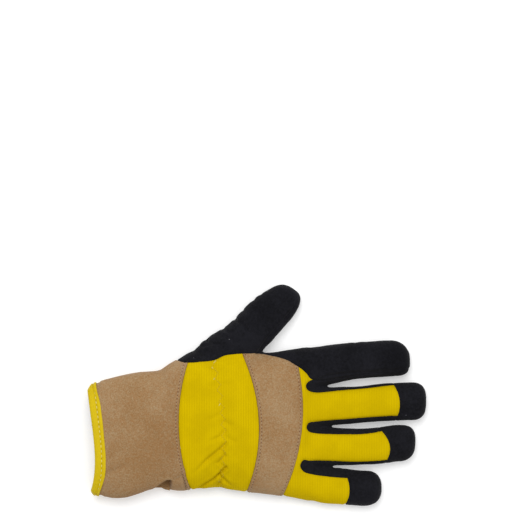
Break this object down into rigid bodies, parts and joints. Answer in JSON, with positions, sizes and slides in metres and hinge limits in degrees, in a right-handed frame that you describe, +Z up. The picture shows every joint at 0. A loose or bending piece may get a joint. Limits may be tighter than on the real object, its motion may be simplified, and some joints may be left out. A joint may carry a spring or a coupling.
{
  "type": "rigger glove",
  "caption": "Right-hand work glove lying palm down, sewn from suede palm and cuff, knit back panels, finger side strips, taped hem and a pull strap.",
  "frame": {"origin": "bottom centre of the glove's box, on the surface that the palm lies on", "axes": "+X from the cuff to the fingertips, +Y to the thumb side, +Z up through the back of the hand"},
  "size_m": [0.2593, 0.1684, 0.0311],
  "materials": {
    "black_suede": "matt napped black suede",
    "tan_suede": "matt napped tan split leather",
    "yellow_knit": "fine ribbed stretch knit",
    "yellow_tape": "woven binding tape, slight sheen",
    "black_strap": "smooth coated strap, satin"
  },
  "bodies": {
    "root": {"cuff_back": "tan_suede", "cuff_palm": "tan_suede", "hem_binding": "yellow_tape", "hand_back": "yellow_knit", "knuckle_strap": "tan_suede", "finger_back": "yellow_knit", "thumb_back": "black_suede", "index_back": "black_suede", "middle_fingertip": "black_suede", "ring_fingertip": "black_suede", "little_fingertip": "black_suede", "index_fourchette": "black_suede", "middle_fourchette": "black_suede", "ring_fourchette": "black_suede", "palm": "black_suede", "pull_strap": "black_strap"}
  },
  "joints": []
}
